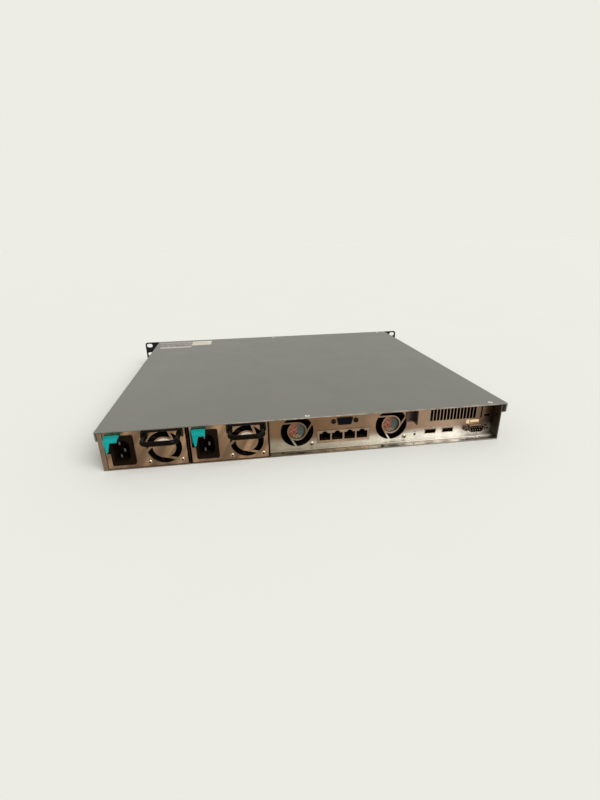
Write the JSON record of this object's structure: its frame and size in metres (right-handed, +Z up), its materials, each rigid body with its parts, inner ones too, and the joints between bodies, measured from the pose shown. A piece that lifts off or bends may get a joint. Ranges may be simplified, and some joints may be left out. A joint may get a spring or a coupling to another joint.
{
  "type": "firewall appliance",
  "caption": "Flat rack-mount network appliance with black rack ears, recessed rear sockets, rear fans and pull-out power modules with folding handles and teal latches.",
  "frame": {"origin": "centre of the tray's underside, half way between the front and rear edges of the tray", "axes": "+Z up, +X across the width (left of someone looking at the rear), -Y towards the rack ears at the front, +Y towards the rear sockets"},
  "size_m": [0.4826, 0.4498, 0.0436],
  "materials": {
    "zinc_steel": "bright zinc-nickel plated sheet, warm reflections",
    "grey_paint": "fine matt grey paint",
    "black_paint": "fine textured satin black powder coat",
    "black_plastic": "moulded satin black",
    "gloss_black": "smooth gloss black",
    "teal_plastic": "moulded satin teal",
    "port_shield": "bright tin plate",
    "circuit_board": "green solder mask",
    "aluminium": "plain milled",
    "green_lens": "translucent lens",
    "wire_sleeve": "braided wire sleeve"
  },
  "bodies": {
    "chassis": {"chassis_tray": "zinc_steel", "bay_partition": "zinc_steel", "bay_divider": "zinc_steel", "rear_panel": "zinc_steel", "support_bracket": "zinc_steel", "drive_bracket": "zinc_steel", "top_cover": "grey_paint", "front_panel": "black_paint", "rack_ear_right": "black_paint", "rack_ear_left": "black_paint", "power_switch": "black_plastic", "status_lens": "green_lens", "rear_network_jacks": "port_shield", "front_network_jacks_1": "port_shield", "front_network_jacks_2": "port_shield", "usb_socket_1": "port_shield", "usb_socket_2": "port_shield", "video_port": "port_shield", "serial_port": "port_shield", "rear_fan_1_frame": "black_plastic", "rear_fan_2_frame": "black_plastic", "motherboard": "circuit_board", "memory_module_1": "circuit_board", "memory_module_2": "circuit_board", "power_backplane": "circuit_board", "front_port_board": "circuit_board", "processor_heatsink": "aluminium", "storage_drive": "aluminium", "power_harness": "wire_sleeve"},
    "rear_fan_1_rotor": {"rear_fan_1_rotor": "black_plastic"},
    "rear_fan_2_rotor": {"rear_fan_2_rotor": "black_plastic"},
    "power_button": {"power_button": "black_plastic"},
    "power_supply_1": {"power_supply_1_case": "zinc_steel", "power_supply_1_faceplate": "zinc_steel", "power_supply_1_mains_inlet": "black_plastic", "power_supply_1_latch_pin": "zinc_steel", "power_supply_1_handle_bracket": "black_paint", "power_supply_1_board": "circuit_board", "power_supply_1_transformer": "black_plastic", "power_supply_1_capacitor": "black_plastic", "power_supply_1_heatsink": "aluminium", "power_supply_1_fan_frame": "black_plastic"},
    "power_supply_1_latch": {"power_supply_1_latch": "teal_plastic"},
    "power_supply_1_handle": {"power_supply_1_handle": "gloss_black"},
    "power_supply_1_fan": {"power_supply_1_fan_rotor": "black_plastic"},
    "power_supply_2": {"power_supply_2_case": "zinc_steel", "power_supply_2_faceplate": "zinc_steel", "power_supply_2_mains_inlet": "black_plastic", "power_supply_2_latch_pin": "zinc_steel", "power_supply_2_handle_bracket": "black_paint", "power_supply_2_board": "circuit_board", "power_supply_2_transformer": "black_plastic", "power_supply_2_capacitor": "black_plastic", "power_supply_2_heatsink": "aluminium", "power_supply_2_fan_frame": "black_plastic"},
    "power_supply_2_latch": {"power_supply_2_latch": "teal_plastic"},
    "power_supply_2_handle": {"power_supply_2_handle": "gloss_black"},
    "power_supply_2_fan": {"power_supply_2_fan_rotor": "black_plastic"}
  },
  "joints": [
    {"name": "power_supply_1_slide", "type": "slide", "parent": "chassis", "child": "power_supply_1", "axis": [0, 1, 0], "range_m": [0, 0.185]},
    {"name": "power_supply_1_latch_press", "type": "hinge", "parent": "power_supply_1", "child": "power_supply_1_latch", "pos_m": [0.2052, 0.15, 0.0217], "axis": [0, 0, 1], "range_deg": [0, 1.9], "stiffness_Nm_per_rad": 1.2, "springref_deg": -1.15},
    {"name": "power_supply_1_handle_fold", "type": "hinge", "parent": "power_supply_1", "child": "power_supply_1_handle", "pos_m": [0.1514, 0.2132, 0.0365], "axis": [-1, 0, 0], "range_deg": [0, 90]},
    {"name": "power_supply_1_fan_spin", "type": "hinge", "parent": "power_supply_1", "child": "power_supply_1_fan", "pos_m": [0.1514, 0.2, 0.0217], "axis": [0, 1, 0], "continuous": true},
    {"name": "power_supply_2_slide", "type": "slide", "parent": "chassis", "child": "power_supply_2", "axis": [0, 1, 0], "range_m": [0, 0.185]},
    {"name": "power_supply_2_latch_press", "type": "hinge", "parent": "power_supply_2", "child": "power_supply_2_latch", "pos_m": [0.1218, 0.15, 0.0217], "axis": [0, 0, 1], "range_deg": [0, 1.9], "stiffness_Nm_per_rad": 1.2, "springref_deg": -1.15},
    {"name": "power_supply_2_handle_fold", "type": "hinge", "parent": "power_supply_2", "child": "power_supply_2_handle", "pos_m": [0.068, 0.2132, 0.0365], "axis": [-1, 0, 0], "range_deg": [0, 90]},
    {"name": "power_supply_2_fan_spin", "type": "hinge", "parent": "power_supply_2", "child": "power_supply_2_fan", "pos_m": [0.068, 0.2, 0.0217], "axis": [0, 1, 0], "continuous": true},
    {"name": "rear_fan_1_spin", "type": "hinge", "parent": "chassis", "child": "rear_fan_1_rotor", "pos_m": [0.0135, 0.18, 0.0217], "axis": [0, 1, 0], "continuous": true},
    {"name": "rear_fan_2_spin", "type": "hinge", "parent": "chassis", "child": "rear_fan_2_rotor", "pos_m": [-0.0923, 0.18, 0.0217], "axis": [0, 1, 0], "continuous": true},
    {"name": "power_button_press", "type": "slide", "parent": "chassis", "child": "power_button", "axis": [0, 1, 0], "range_m": [0, 0.0018], "stiffness_N_per_m": 600, "springref_m": -0.001}
  ]
}
